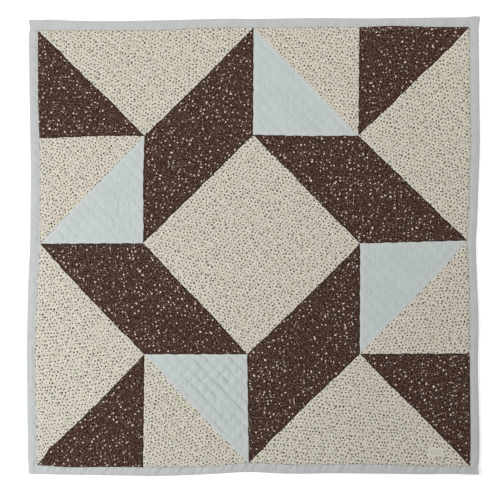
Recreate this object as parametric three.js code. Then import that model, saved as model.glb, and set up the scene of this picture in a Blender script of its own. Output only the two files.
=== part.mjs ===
// Quilted patchwork cotton blanket, lying flat with its pieced face up.
// Millimetres. +Z is up, +Y points to the top edge, and the origin is on the
// surface that the blanket lies on, under the middle of its box.

import * as THREE from 'three';

// Driving dimensions
const WIDTH = 1000;
const LENGTH = 1010;
const BINDING_FACE = 21.5;
const GAP = 0.3;

// Heights above the surface that the blanket lies on
const PANEL_TOP = 2.5;
const RIM_UNDERSIDE = 1.5;
const STITCH_TOP = 4.0;
const PUFF = 3.0;

// Quilting: a stitched diamond lattice, counted in half diamonds
const GRID = 4;
const STEPS = 16;
const LAST = GRID * STEPS;

// Share of the full puff that is left beside a seam and beside the binding
const SEAM_SHARE = 0.45;
const BINDING_SHARE = 0.2;

// Slow unevenness of the wadding: share of the puff, and waves across the grid
const UNEVEN_SHARE = 0.12;
const UNEVEN_ACROSS = 2.3;
const UNEVEN_UP = 1.7;

// Sewn label
const LABEL = { width: 36, height: 20, thickness: 0.8, right: 407, up: -458 };

const CLOTHS = {
  dark: { color: 0x523f37, roughness: 0.93 },
  cream: { color: 0xbeb8a9, roughness: 0.93 },
  blue: { color: 0xbcc5c2, roughness: 0.9 },
  binding: { color: 0xc2c9c6, roughness: 0.9 },
  back: { color: 0xc2c9c6, roughness: 0.93 },
  label: { color: 0xd6d2c4, roughness: 0.85 },
};

// The upper left quarter of the pieced design. Corners are crossings of the
// seam grid, as squares to the right of and above its lower left corner.
const QUARTER_PATCHES = [
  { name: 'dark_corner', cloth: 'dark', corners: [[0, 4], [0, 3], [1, 3]] },
  { name: 'dark_band', cloth: 'dark', corners: [[1, 3], [1, 2], [2, 3], [2, 4]] },
  { name: 'cream_side', cloth: 'cream', corners: [[0, 4], [1, 3], [2, 4]] },
  { name: 'cream_wedge', cloth: 'cream', corners: [[0, 3], [0, 2], [1, 3]] },
  { name: 'blue_tip', cloth: 'blue', corners: [[0, 2], [1, 2], [1, 3]] },
];
const QUARTERS = ['upper_left', 'upper_right', 'lower_right', 'lower_left'];
const CENTRE_PATCH = {
  name: 'cream_centre',
  cloth: 'cream',
  corners: [[2, 3], [1, 2], [2, 1], [3, 2]],
};

// Places that sewing and washing have drawn off the even seam grid: crossings,
// whose drift reaches one square around them, and bows of a seam, which reach less
const SEAM_DRIFT = [
  { column: 1, row: 3, right: -2, up: 4, reach: 1 },
  { column: 2, row: 3, right: 0, up: 6, reach: 1 },
  { column: 3, row: 3, right: -5.5, up: 4.5, reach: 1 },
  { column: 0, row: 3, right: 0, up: -1.5, reach: 1 },
  { column: 0, row: 2, right: 0, up: 6, reach: 1 },
  { column: 1, row: 2, right: -5, up: 7, reach: 1 },
  { column: 2, row: 2, right: -2, up: 7, reach: 1 },
  { column: 3, row: 2, right: -1, up: 6.5, reach: 1 },
  { column: 4, row: 2, right: 0, up: 13, reach: 1 },
  { column: 1, row: 1, right: -2, up: 2, reach: 1 },
  { column: 2, row: 1, right: -13, up: 2, reach: 1 },
  { column: 3, row: 1, right: -2, up: 2.7, reach: 1 },
  { column: 4, row: 1, right: 0, up: 4, reach: 1 },
  { column: 1, row: 0, right: -5, up: 0, reach: 1 },
  { column: 2, row: 0, right: -9.5, up: 0, reach: 1 },
  { column: 2, row: 4, right: 1.2, up: 0, reach: 1 },
  { column: 3, row: 4, right: -3, up: 0, reach: 1 },
  { column: 0.15, row: 0.15, right: -5.5, up: 5.5, reach: 0.15 },
  { column: 0.31, row: 0.31, right: -3.6, up: 3.6, reach: 0.31 },
  { column: 1.5, row: 0.5, right: 2.3, up: 2.4, reach: 0.5 },
  { column: 2.42, row: 0.42, right: -1.9, up: 1.9, reach: 0.42 },
  { column: 1, row: 2.58, right: -2, up: 0, reach: 0.42 },
  { column: 1.35, row: 1.65, right: -1.2, up: -1.1, reach: 0.35 },
  { column: 3.85, row: 3.85, right: 1.5, up: -1.5, reach: 0.15 },
];

// The four sides in clockwise order. Each row says, at a place along the side,
// how far the edge stands out from its straight line and how wide the face of
// the binding is.
const SIDES = [
  {
    name: 'top',
    along: new THREE.Vector2(1, 0),
    out: new THREE.Vector2(0, 1),
    half: WIDTH / 2,
    reach: LENGTH / 2,
    rows: [
      { along: -500, out: -2, face: 21.5 },
      { along: -320, out: -4.5, face: 21 },
      { along: -180, out: -2, face: 21.2 },
      { along: -60, out: 1.5, face: 20.2 },
      { along: 0, out: 0.5, face: 20.2 },
      { along: 140, out: 3, face: 20.6 },
      { along: 250, out: 2, face: 19.6 },
      { along: 400, out: 3.8, face: 19 },
      { along: 500, out: 5, face: 20.8 },
    ],
  },
  {
    name: 'right',
    along: new THREE.Vector2(0, -1),
    out: new THREE.Vector2(1, 0),
    half: LENGTH / 2,
    reach: WIDTH / 2,
    rows: [
      { along: -505, out: 1.5, face: 20.4 },
      { along: -260, out: 3.5, face: 20.4 },
      { along: -100, out: -1, face: 20 },
      { along: -5, out: -4.5, face: 19.4 },
      { along: 70, out: -2.5, face: 19.2 },
      { along: 170, out: 1.5, face: 19.4 },
      { along: 260, out: -0.5, face: 17.8 },
      { along: 430, out: 3.5, face: 19.6 },
      { along: 505, out: 2, face: 19.6 },
    ],
  },
  {
    name: 'bottom',
    along: new THREE.Vector2(-1, 0),
    out: new THREE.Vector2(0, -1),
    half: WIDTH / 2,
    reach: LENGTH / 2,
    rows: [
      { along: -500, out: 2.5, face: 19 },
      { along: -300, out: 1, face: 20.2 },
      { along: -170, out: -0.5, face: 20 },
      { along: -110, out: 1, face: 20.3 },
      { along: -60, out: 0, face: 21.2 },
      { along: 10, out: -3.5, face: 20.8 },
      { along: 110, out: 2, face: 19.6 },
      { along: 230, out: 5, face: 19 },
      { along: 320, out: 3.5, face: 18.6 },
      { along: 410, out: 2.2, face: 17.2 },
      { along: 500, out: 1, face: 20 },
    ],
  },
  {
    name: 'left',
    along: new THREE.Vector2(0, 1),
    out: new THREE.Vector2(-1, 0),
    half: LENGTH / 2,
    reach: WIDTH / 2,
    rows: [
      { along: -505, out: 0, face: 21.6 },
      { along: -370, out: 2.5, face: 23 },
      { along: -230, out: 3.5, face: 22.6 },
      { along: -100, out: 0, face: 21.6 },
      { along: 10, out: -4.5, face: 23 },
      { along: 170, out: -6, face: 22 },
      { along: 330, out: -3, face: 19.6 },
      { along: 505, out: -1, face: 20.6 },
    ],
  },
];
const [TOP, RIGHT, BOTTOM, LEFT] = SIDES;

// Binding section, folded round the rim of the back panel. A corner lies inward
// from the outline by its fold and by its share of the face, at a height.
const FOLD_INSET = 2.5;
const BINDING_SECTION = [
  { fold: 0, share: 1, height: 0 },
  { fold: 1.5, share: 0, height: 0 },
  { fold: 0, share: 0, height: 1.5 },
  { fold: 0, share: 0, height: 3.5 },
  { fold: 1.6, share: 0, height: 5.0 },
  { fold: 0, share: 0.5, height: 5.6 },
  { fold: 0, share: 1, height: 4.7 },
  { fold: 0, share: 1, height: PANEL_TOP + GAP },
  { fold: FOLD_INSET, share: 0, height: PANEL_TOP + GAP },
  { fold: FOLD_INSET, share: 0, height: RIM_UNDERSIDE - GAP },
  { fold: 0, share: 1, height: RIM_UNDERSIDE - GAP },
];
const RIM_INSET = FOLD_INSET + GAP;

// Outline of the blanket

// The row of a side at any place along it, straight between the rows given.
function rowAt(side, along) {
  const { rows } = side;
  const next = rows.findIndex((row) => row.along > along);
  if (next === 0) {
    return rows[0];
  }
  if (next === -1) {
    return rows[rows.length - 1];
  }
  const before = rows[next - 1];
  const after = rows[next];
  const share = (along - before.along) / (after.along - before.along);
  return {
    along,
    out: THREE.MathUtils.lerp(before.out, after.out, share),
    face: THREE.MathUtils.lerp(before.face, after.face, share),
  };
}

// A point near a side, from its place along the side and inward from the outline.
function sidePoint(side, along, inward) {
  const out = side.reach + rowAt(side, along).out - inward;
  return new THREE.Vector2()
    .addScaledVector(side.along, along)
    .addScaledVector(side.out, out);
}

// Where a side begins, going clockwise, inward from the side before it. The
// inset is a function of a row.
function sideStart(index, inset) {
  const before = SIDES[(index + SIDES.length - 1) % SIDES.length];
  const row = rowAt(before, before.half);
  return -(before.reach + row.out - inset(row));
}

// The outline drawn in by an inset: a corner, then the rows of each side.
function outlineRing(inset) {
  return SIDES.flatMap((side, index) => {
    const places = side.rows.slice(1, -1).map((row) => row.along);
    return [sideStart(index, inset), ...places]
      .map((along) => sidePoint(side, along, inset(rowAt(side, along))));
  });
}

// Piecing

const FIELD_WIDTH = WIDTH - 2 * BINDING_FACE - GAP;
const FIELD_LENGTH = LENGTH - 2 * BINDING_FACE - GAP;
const SQUARE_WIDTH = FIELD_WIDTH / GRID;
const SQUARE_LENGTH = FIELD_LENGTH / GRID;

// A place on the seam grid as the sewn cloth has it: the even grid, then the
// drift of the places around it, then what the sides that are near stand out
// and what their binding leaves of its full width.
function clothPoint(column, row) {
  let x = column * SQUARE_WIDTH - FIELD_WIDTH / 2;
  let y = row * SQUARE_LENGTH - FIELD_LENGTH / 2;
  for (const drift of SEAM_DRIFT) {
    const nearColumn = Math.max(0, 1 - Math.abs(column - drift.column) / drift.reach);
    const nearRow = Math.max(0, 1 - Math.abs(row - drift.row) / drift.reach);
    x += drift.right * nearColumn * nearRow;
    y += drift.up * nearColumn * nearRow;
  }
  const near = (distance) => THREE.MathUtils.clamp(1 - distance, 0, 1);
  const drawn = (side, along) => {
    const { out, face } = rowAt(side, along);
    return out + BINDING_FACE - face;
  };
  const across = near(GRID - column) * drawn(RIGHT, -y) - near(column) * drawn(LEFT, y);
  const upward = near(GRID - row) * drawn(TOP, x) - near(row) * drawn(BOTTOM, -x);
  return new THREE.Vector2(x + across, y + upward);
}

// A crossing turned clockwise about the middle of the seam grid.
function quarterTurned([column, row], turns) {
  return turns === 0 ? [column, row] : quarterTurned([row, GRID - column], turns - 1);
}

function allPatches() {
  const turned = QUARTERS.flatMap((quarter, turns) =>
    QUARTER_PATCHES.map((patch) => ({
      name: `${patch.name}_${quarter}`,
      cloth: patch.cloth,
      corners: patch.corners.map((corner) => quarterTurned(corner, turns)),
    })),
  );
  return [...turned, CENTRE_PATCH];
}

// Signed distances from a point to the sides of a patch, in squares, inside positive.
function sideDistances(corners, column, row) {
  return corners.map(([fromColumn, fromRow], index) => {
    const [toColumn, toRow] = corners[(index + 1) % corners.length];
    const across = toColumn - fromColumn;
    const up = toRow - fromRow;
    const turn = across * (row - fromRow) - up * (column - fromColumn);
    return turn / Math.hypot(across, up);
  });
}

// The middle of a patch: the incentre of a triangle, the mean corner of the others.
function patchMiddle(corners) {
  const weights = corners.map((_, index) => {
    if (corners.length > 3) {
      return 1;
    }
    const [first, second] = [1, 2].map((step) => corners[(index + step) % 3]);
    return Math.hypot(second[0] - first[0], second[1] - first[1]);
  });
  const total = weights.reduce((sum, weight) => sum + weight);
  return [0, 1].map((axis) =>
    corners.reduce((sum, corner, index) => sum + weights[index] * corner[axis], 0) / total,
  );
}

// The two halves of a quilting square. They part on the stitched line between
// its sewn corners, or on the seam where a slanting seam crosses the square.
function squareHalves(i, j, onSeam) {
  const low = [i, j];
  const right = [i + 1, j];
  const high = [i + 1, j + 1];
  const left = [i, j + 1];
  const crownIsLow = (i + j) % 2 === 0;
  if (crownIsLow === onSeam) {
    return [[low, right, high], [low, high, left]];
  }
  return [[low, right, left], [right, high, left]];
}

// The quilting triangles of every patch, in lattice steps.
function patchTriangles(patches) {
  const shares = patches.map(() => []);
  const ownerOf = (i, j) => patches.findIndex((patch) =>
    sideDistances(patch.corners, i / STEPS, j / STEPS).every((distance) => distance > 0));
  const aside = 0.25;
  for (let i = 0; i < LAST; i += 1) {
    for (let j = 0; j < LAST; j += 1) {
      const owners = [[0.5, aside], [1 - aside, 0.5], [0.5, 1 - aside], [aside, 0.5]]
        .map(([right, up]) => ownerOf(i + right, j + up));
      const onSeam = owners.some((owner) => owner !== owners[0]);
      for (const half of squareHalves(i, j, onSeam)) {
        const middle = [0, 1].map((axis) => half.reduce((sum, node) => sum + node[axis], 0) / 3);
        shares[ownerOf(...middle)].push(half);
      }
    }
  }
  return shares;
}

// Height of a quilted face: low at the sewn corners, raised at the crowns.
function faceHeight(i, j, onRim) {
  if ((i + j) % 2 !== 0) {
    return STITCH_TOP;
  }
  const besideBinding = i === 0 || j === 0 || i === LAST || j === LAST;
  const seamShare = onRim ? SEAM_SHARE : 1;
  const share = besideBinding ? BINDING_SHARE : seamShare;
  const wave = Math.sin((UNEVEN_ACROSS * i) / STEPS) * Math.cos((UNEVEN_UP * j) / STEPS);
  return STITCH_TOP + PUFF * share * (1 + UNEVEN_SHARE * wave);
}

// Closed solids

// A geometry from points and triangles, turned so that its faces point out.
function solid(points, triangles) {
  const [a, b, c] = [0, 1, 2].map(() => new THREE.Vector3());
  const volume = triangles.reduce((sum, [first, second, third]) => {
    a.copy(points[first]);
    b.copy(points[second]);
    c.copy(points[third]);
    return sum + a.dot(b.cross(c));
  }, 0);
  const turned = ([first, second, third]) => [first, third, second];
  const outward = volume > 0 ? triangles : triangles.map(turned);
  const geometry = new THREE.BufferGeometry().setFromPoints(points);
  geometry.setIndex(outward.flat());
  geometry.computeVertexNormals();
  return geometry;
}

// The two triangles of a band between matching edges of two rings.
function bandBetween(low, lowNext, high, highNext) {
  return [[low, lowNext, highNext], [low, highNext, high]];
}

// A patch: its quilted face, walls down the seams and a flat underside on the panel.
function patchGeometry(patch, triangles) {
  const key = ([i, j]) => i * (LAST + 1) + j;
  const directed = new Map();
  for (const triangle of triangles) {
    triangle.forEach((node, index) => {
      const next = triangle[(index + 1) % 3];
      directed.set(`${key(node)} ${key(next)}`, [node, next]);
    });
  }
  const rim = [...directed.values()].filter(([node, next]) => !directed.has(`${key(next)} ${key(node)}`));
  const onRim = new Set(rim.map(([node]) => key(node)));

  const middle = patchMiddle(patch.corners);
  const innerRadius = SQUARE_WIDTH * Math.min(...sideDistances(patch.corners, ...middle));
  const keep = 1 - GAP / 2 / innerRadius;
  const placed = ([i, j]) => clothPoint(
    middle[0] + keep * (i / STEPS - middle[0]),
    middle[1] + keep * (j / STEPS - middle[1]),
  );

  const points = [];
  const faceIndex = new Map();
  const undersideIndex = new Map();
  const addPoint = (place, height) => points.push(new THREE.Vector3(place.x, place.y, height)) - 1;
  for (const node of triangles.flat()) {
    if (!faceIndex.has(key(node))) {
      const height = faceHeight(...node, onRim.has(key(node)));
      faceIndex.set(key(node), addPoint(placed(node), height));
    }
  }
  const underside = PANEL_TOP + GAP;
  for (const [node] of rim) {
    undersideIndex.set(key(node), addPoint(placed(node), underside));
  }
  const hub = addPoint(clothPoint(...middle), underside);

  const faces = triangles.map((triangle) => triangle.map((node) => faceIndex.get(key(node))));
  for (const [node, next] of rim) {
    const [low, lowNext] = [node, next].map((end) => undersideIndex.get(key(end)));
    const [high, highNext] = [node, next].map((end) => faceIndex.get(key(end)));
    faces.push(...bandBetween(low, lowNext, high, highNext));
    faces.push([hub, lowNext, low]);
  }
  return solid(points, faces);
}

// The back panel: flat below, with a raised rim that the binding folds round.
function backPanelGeometry() {
  const insideBinding = (row) => row.face + GAP;
  const insideFold = () => RIM_INSET;
  const levels = [
    { inset: insideBinding, height: 0 },
    { inset: insideBinding, height: RIM_UNDERSIDE },
    { inset: insideFold, height: RIM_UNDERSIDE },
    { inset: insideFold, height: PANEL_TOP },
  ];
  const rings = levels.map((level) => outlineRing(level.inset)
    .map((place) => new THREE.Vector3(place.x, place.y, level.height)));
  const count = rings[0].length;
  const points = [...rings.flat(), new THREE.Vector3(0, 0, 0), new THREE.Vector3(0, 0, PANEL_TOP)];
  const lowHub = points.length - 2;
  const highHub = points.length - 1;
  const topRing = (levels.length - 1) * count;
  const faces = [];
  for (let index = 0; index < count; index += 1) {
    const next = (index + 1) % count;
    faces.push([lowHub, next, index]);
    for (let level = 0; level + 1 < levels.length; level += 1) {
      const low = level * count;
      const high = low + count;
      faces.push(...bandBetween(low + index, low + next, high + index, high + next));
    }
    faces.push([highHub, topRing + index, topRing + next]);
  }
  return solid(points, faces);
}

// A binding strip: it covers the corner that it starts from, and its other end
// stops at the side of the strip that comes next.
function bindingGeometry(index) {
  const side = SIDES[index];
  const next = SIDES[(index + 1) % SIDES.length];
  const start = sideStart(index, () => 0);
  const meeting = rowAt(next, -next.half);
  const end = next.reach + meeting.out - meeting.face - 2 * GAP;
  const stations = [start, ...side.rows.slice(1, -1).map((row) => row.along), end];
  const count = BINDING_SECTION.length;
  const inwardAt = (corner, face) => corner.fold + corner.share * face;
  const points = stations.flatMap((along) => BINDING_SECTION.map((corner) => {
    const place = sidePoint(side, along, inwardAt(corner, rowAt(side, along).face));
    return new THREE.Vector3(place.x, place.y, corner.height);
  }));
  const faces = [];
  for (let station = 0; station + 1 < stations.length; station += 1) {
    for (let corner = 0; corner < count; corner += 1) {
      const low = station * count;
      const high = low + count;
      const after = (corner + 1) % count;
      faces.push(...bandBetween(low + corner, low + after, high + corner, high + after));
    }
  }
  const section = BINDING_SECTION
    .map((corner) => new THREE.Vector2(inwardAt(corner, BINDING_FACE), corner.height));
  const far = (stations.length - 1) * count;
  for (const [a, b, c] of THREE.ShapeUtils.triangulateShape(section, [])) {
    faces.push([a, b, c]);
    faces.push([far + a, far + c, far + b]);
  }
  return solid(points, faces);
}

// The blanket

function clothMesh(name, geometry, cloth) {
  const material = new THREE.MeshStandardMaterial({ ...CLOTHS[cloth], metalness: 0 });
  const mesh = new THREE.Mesh(geometry, material);
  mesh.name = name;
  return mesh;
}

function labelMesh() {
  const geometry = new THREE.BoxGeometry(LABEL.width, LABEL.height, LABEL.thickness);
  const mesh = clothMesh('label_tab', geometry, 'label');
  const crownTop = STITCH_TOP + PUFF * (1 + UNEVEN_SHARE);
  mesh.position.set(LABEL.right, LABEL.up, crownTop + GAP + LABEL.thickness / 2);
  return mesh;
}

const blanket = new THREE.Group();
blanket.name = 'blanket';
blanket.add(clothMesh('back_panel', backPanelGeometry(), 'back'));

const patches = allPatches();
const triangleShares = patchTriangles(patches);
patches.forEach((patch, index) => {
  blanket.add(clothMesh(patch.name, patchGeometry(patch, triangleShares[index]), patch.cloth));
});

SIDES.forEach((side, index) => {
  blanket.add(clothMesh(`binding_${side.name}`, bindingGeometry(index), 'binding'));
});
blanket.add(labelMesh());

const box = new THREE.Box3().setFromObject(blanket);
const middle = box.getCenter(new THREE.Vector3());
blanket.position.set(-middle.x, -middle.y, 0);

export default blanket;
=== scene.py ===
# %% [markdown]
# # A quilted patchwork blanket of cotton
#
# This lesson makes the look of a small patchwork blanket. It lies flat on a pale floor with its pieced face
# up, and the camera looks straight down on it.
#
# A maker works in four steps, and the cells below follow them.
#
# 1. Triangles and bands are cut from three cotton cloths and sewn together into a turning star.
# 2. The pieced face, a layer of wadding and a back are laid on each other and quilted: stitched lines run
#    through all three layers and leave soft pillows between them.
# 3. The raw edge is wrapped in a folded strip, the binding.
# 4. A small blank label is sewn onto one side.
#
# Every piece is a surface that numpy works out from a few sizes. Nothing is traced, and no picture is read.
#
# The first cell loads the frame, which is the solid model of the same blanket, and moves each node's place
# into its mesh. Each new piece hides the nodes of the frame that it stands for.

import bpy
import numpy as np
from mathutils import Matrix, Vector


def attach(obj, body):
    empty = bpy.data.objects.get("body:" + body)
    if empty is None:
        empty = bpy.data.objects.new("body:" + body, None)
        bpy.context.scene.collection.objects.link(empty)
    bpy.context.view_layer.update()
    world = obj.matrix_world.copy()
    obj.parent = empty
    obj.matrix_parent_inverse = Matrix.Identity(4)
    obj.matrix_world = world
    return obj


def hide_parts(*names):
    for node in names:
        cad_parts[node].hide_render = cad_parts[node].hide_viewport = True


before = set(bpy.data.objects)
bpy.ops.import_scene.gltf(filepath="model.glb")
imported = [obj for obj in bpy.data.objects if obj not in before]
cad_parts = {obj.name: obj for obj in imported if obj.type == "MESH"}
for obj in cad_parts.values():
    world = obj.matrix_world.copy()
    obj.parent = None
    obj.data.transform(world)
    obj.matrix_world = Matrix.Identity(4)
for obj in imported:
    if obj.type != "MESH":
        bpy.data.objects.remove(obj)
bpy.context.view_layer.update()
print("solid pieces:", len(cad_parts))

# %% [markdown]
# ## The sizes that drive everything
#
# Sizes are metres, except in the longer tables, which read more easily in millimetres. +Y points to the
# blanket's top edge. The pattern is a grid of four squares by four, and a place on it is a column and a
# row, from 0 to 4, counted from the lower left corner. Sixteen half diamonds of quilting fit along one
# square.

# %% Sizes
MM = 0.001
WIDTH = 1.000
LENGTH = 1.010
BINDING_FACE = 0.0215
GAP = 0.0003
SQUARES = 4
HALF_DIAMONDS = 16
FIELD = np.array([WIDTH, LENGTH]) - 2 * BINDING_FACE - GAP
SQUARE = FIELD / SQUARES
SQUARE_SIDE = SQUARE.mean()
random = np.random.default_rng(27)
print("pieced field:", FIELD.round(4), "one square:", SQUARE.round(4))

# %% [markdown]
# ## Edges that wave and seams that drift
#
# No sewn edge is straight once it has been washed, and no binding is folded to the same width all along.
# Each row below has a place along an edge, going clockwise, how far the edge stands out from its straight
# line there, and how wide the binding is. Straight lines between the rows would leave kinks, so both are
# averaged over a short stretch.

# %% Waves of the four edges
EDGE_ROWS = {
    # along, out, width
    "top": [
        (-500, -2.0, 23.8), (-430, -3.0, 21.2), (-320, -4.5, 20.2), (-200, -2.3, 22.0), (-115, 0.0, 18.8),
        (-60, 1.5, 19.6), (0, 0.5, 19.6), (140, 3.0, 20.4), (250, 2.0, 19.4), (305, 2.7, 16.8),
        (360, 3.3, 19.0), (430, 4.1, 21.4), (500, 5.0, 22.0),
    ],
    "right": [
        (-505, 1.5, 20.4), (-290, 3.6, 20.8), (-235, 4.5, 19.2), (-180, 2.7, 20.4), (-110, -0.2, 19.2),
        (-60, -1.4, 17.8), (-5, -5.2, 20.0), (45, -3.2, 17.4), (100, -1.0, 17.4), (170, 1.7, 19.6),
        (260, -0.5, 17.4), (430, 3.5, 19.6), (505, 2.0, 19.6),
    ],
    "bottom": [
        (-500, 2.5, 17.8), (-375, 1.4, 17.8), (-300, 0.3, 20.0), (-240, -0.1, 20.8), (-170, -1.0, 19.0),
        (-110, 0.8, 18.4), (-55, -0.3, 20.8), (10, -4.3, 20.0), (80, 0.4, 17.2), (140, 3.4, 17.6),
        (210, 5.7, 19.2), (320, 4.1, 18.8), (410, 2.7, 16.2), (500, 1.0, 21.3),
    ],
    "left": [
        (-505, 0.8, 20.6), (-410, 1.8, 20.4), (-300, 2.9, 19.2), (-220, 3.7, 19.6), (-120, 1.4, 20.8),
        (-50, -0.7, 22.2), (-5, -4.1, 23.2), (70, -4.4, 21.8), (170, -5.7, 21.4), (330, -2.8, 19.0),
        (505, -1.0, 20.6),
    ],
}
EDGES = {side: MM * np.array(rows).T for side, rows in EDGE_ROWS.items()}
WAVE_STRETCH = np.linspace(-0.025, 0.025, 9)


def along_edge(side, along, kind):
    """A value of an edge's rows at a place: straight lines between them, averaged over a stretch of 5 cm."""
    places = np.asarray(along)[..., None] + WAVE_STRETCH
    return np.interp(places, EDGES[side][0], EDGES[side][kind]).mean(-1)


def edge_wave(side, along):
    """How far an edge stands out."""
    return along_edge(side, along, 1)


def binding_width(side, along):
    """How wide the binding's face is."""
    return along_edge(side, along, 2)


for side in EDGES:
    widths = binding_width(side, np.linspace(-0.5, 0.5, 99))
    print(side, "binding is", widths.min().round(4), "to", widths.max().round(4), "m wide")

# %% [markdown]
# Where two strips of binding meet, a corner is pushed out to a small ear or is rounded off, and the edge
# beside it is drawn in. Each row below is a place on the outline, how far it was pulled to the right and
# upwards, and how far to either side and up and down the pull reaches.

# %% Corners
PULLS = MM * np.array([
    # upper left
    (-497.5, 486.5, 2.9, 0.0, 11.5, 11.5), (-446.0, 502.0, 0.0, 1.8, 30.0, 9.0),
    # upper right
    (502.0, 507.0, 2.8, 0.0, 10.0, 12.0), (491.5, 510.0, 0.0, 1.7, 10.0, 10.0),
    # lower right
    (503.7, -492.5, -1.9, 0.0, 11.0, 11.0), (442.0, -506.5, 0.0, 1.4, 36.0, 9.0),
    # lower left
    (-498.5, -505.5, 1.6, 1.2, 6.0, 6.0), (-498.5, -489.0, 1.4, 0.0, 12.0, 12.0),
])


def pulled(place):
    """A place moved by every pull, each times a bell of the distance from it."""
    away = (place[..., None, :] - PULLS[:, 0:2]) / PULLS[:, 4:6]
    return place + np.exp(-(away**2).sum(-1)) @ PULLS[:, 2:4]


print("pulls at the corners:", len(PULLS))

# %% [markdown]
# The seams drift as well. Each row is a place on the pattern, as column and row, how far it was drawn to
# the right and upwards in millimetres, and how many squares away that fades to nothing, like a tent over
# its pole. The crossings come first, with a reach of one square, and then the bows of single seams. The
# waves of the edges fade inwards in the same way, so the middle of the blanket stays calm. A little wander
# is added to all.

# %% The sewn cloth
SEAM_DRIFT = np.array([
    # crossings
    (1, 3, -2.0, 4.0, 1), (2, 3, 0.0, 6.0, 1), (3, 3, -5.5, 4.5, 1), (0, 3, 0.0, -1.5, 1),
    (0, 2, 0.0, 6.0, 1), (1, 2, -5.0, 7.0, 1), (2, 2, -2.0, 7.0, 1), (3, 2, -1.0, 6.5, 1),
    (4, 2, 0.0, 13.0, 1), (1, 1, -2.0, 2.0, 1), (2, 1, -13.0, 2.0, 1), (3, 1, -2.0, 2.7, 1),
    (4, 1, 0.0, 4.0, 1), (1, 0, -5.0, 0.0, 1), (2, 0, -9.5, 0.0, 1), (2, 4, 1.2, 0.0, 1),
    (3, 4, -3.0, 0.0, 1),
    # bows
    (0.15, 0.15, -5.5, 5.5, 0.15), (0.31, 0.31, -3.6, 3.6, 0.31), (1.5, 0.5, 2.3, 2.4, 0.5),
    (2.42, 0.42, -1.9, 1.9, 0.42), (1, 2.58, -2.0, 0.0, 0.42), (1.35, 1.65, -2.0, -1.9, 0.35),
    (3.85, 3.85, 1.5, -1.5, 0.15), (2.58, 0.58, -2.1, 2.4, 0.42), (2.22, 0.22, -1.3, 1.5, 0.22),
    (3.27, 0.73, -1.9, -1.8, 0.27), (0.65, 3.35, 1.8, 1.6, 0.35), (0.20, 3.80, 1.3, 1.2, 0.20),
    (2.36, 2.64, 1.7, 1.5, 0.36), (3.30, 3.30, 1.4, -1.4, 0.28), (3.70, 3.70, 1.4, -1.4, 0.28),
    (3.75, 2.25, -1.3, -1.5, 0.25), (0.55, 3, 0.0, 2.0, 0.45), (1.58, 3.58, 1.6, -1.5, 0.42),
    (2.55, 3, 0.0, -1.5, 0.45),
])
WANDER = 0.0004
WANDER_FADE = 0.04
# radians for each column and for each row, and the start of a wave
WANDER_RIGHT = [(7.3, 29.1, 0.7), (-9.1, 57.3, 0.0)]
WANDER_UP = [(31.3, -6.9, 2.1), (54.7, 8.7, 1.0)]


def from_edge(column, row):
    """Distance from the nearest edge of the pattern in metres, inside positive."""
    return np.minimum(np.minimum(column, SQUARES - column), np.minimum(row, SQUARES - row)) * SQUARE_SIDE


def tent(distance):
    """1 at no distance, falling evenly to 0 at a distance of 1."""
    return np.clip(1 - np.abs(distance), 0, 1)


def wander(column, row, table):
    """How far a seam strays from its line: a sum of short waves that die out at the edges of the pattern."""
    inside = np.clip(from_edge(column, row) / WANDER_FADE, 0, 1)
    return WANDER * inside * sum(np.sin(across * column + up * row + start) for across, up, start in table)


def cloth_place(column, row, up_to_binding=1.0):
    """Where a point of the pattern lies: its even place, plus drift and wander, plus the waves near an edge.

    The patches end at the binding, so they also take up what the binding leaves of its full width.
    """
    at_column, at_row, right, up, reach = SEAM_DRIFT.T
    share = tent((column[..., None] - at_column) / reach) * tent((row[..., None] - at_row) / reach)
    x = column * SQUARE[0] - FIELD[0] / 2 + MM * (share @ right) + wander(column, row, WANDER_RIGHT)
    y = row * SQUARE[1] - FIELD[1] / 2 + MM * (share @ up) + wander(column, row, WANDER_UP)

    def stands(side, along):
        """How far the cloth stands out at an edge."""
        return edge_wave(side, along) + up_to_binding * (BINDING_FACE - binding_width(side, along))

    to_right = tent(np.maximum(SQUARES - column, 0)) * stands("right", -y)
    to_left = tent(np.maximum(column, 0)) * stands("left", y)
    to_top = tent(np.maximum(SQUARES - row, 0)) * stands("top", x)
    to_bottom = tent(np.maximum(row, 0)) * stands("bottom", -x)
    return x + to_right - to_left, y + to_top - to_bottom


print("middle of the pattern lies at", np.round(cloth_place(np.array(2.0), np.array(2.0)), 4))

# %% [markdown]
# ## The pieced pattern
#
# The star has a quarter of five patches that is repeated with a quarter turn, round a square on its point.
# Corners are listed against the clock, so that the inside of a patch is always on the left of its sides.
# That gives a simple test for the inside and the distance from the nearest seam, both with a cross product.

# %% Patches
QUARTER_PATCHES = {
    "dark_corner": [(0, 4), (0, 3), (1, 3)],
    "dark_band": [(1, 3), (1, 2), (2, 3), (2, 4)],
    "cream_side": [(0, 4), (1, 3), (2, 4)],
    "cream_wedge": [(0, 3), (0, 2), (1, 3)],
    "blue_tip": [(0, 2), (1, 2), (1, 3)],
}
QUARTERS = ["upper_left", "upper_right", "lower_right", "lower_left"]
CENTRE = [(2, 3), (1, 2), (2, 1), (3, 2)]


def turned(corners, turns):
    """Corners turned clockwise about the pattern's middle: (column, row) goes to (row, 4 - column)."""
    for _ in range(turns):
        corners = np.stack([corners[:, 1], SQUARES - corners[:, 0]], axis=1)
    return corners


PATCHES = {
    f"{name}_{quarter}": turned(np.array(corners), turns)
    for turns, quarter in enumerate(QUARTERS)
    for name, corners in QUARTER_PATCHES.items()
}
PATCHES["cream_centre"] = np.array(CENTRE)


def side_distances(corners, column, row):
    """Distance from each side of a patch in metres, inside positive: the cross product with its direction."""
    along = np.roll(corners, -1, axis=0) - corners
    along = along / np.linalg.norm(along, axis=1)[:, None]
    right, up = column[..., None] - corners[:, 0], row[..., None] - corners[:, 1]
    return (along[:, 0] * up - along[:, 1] * right) * SQUARE_SIDE


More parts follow.
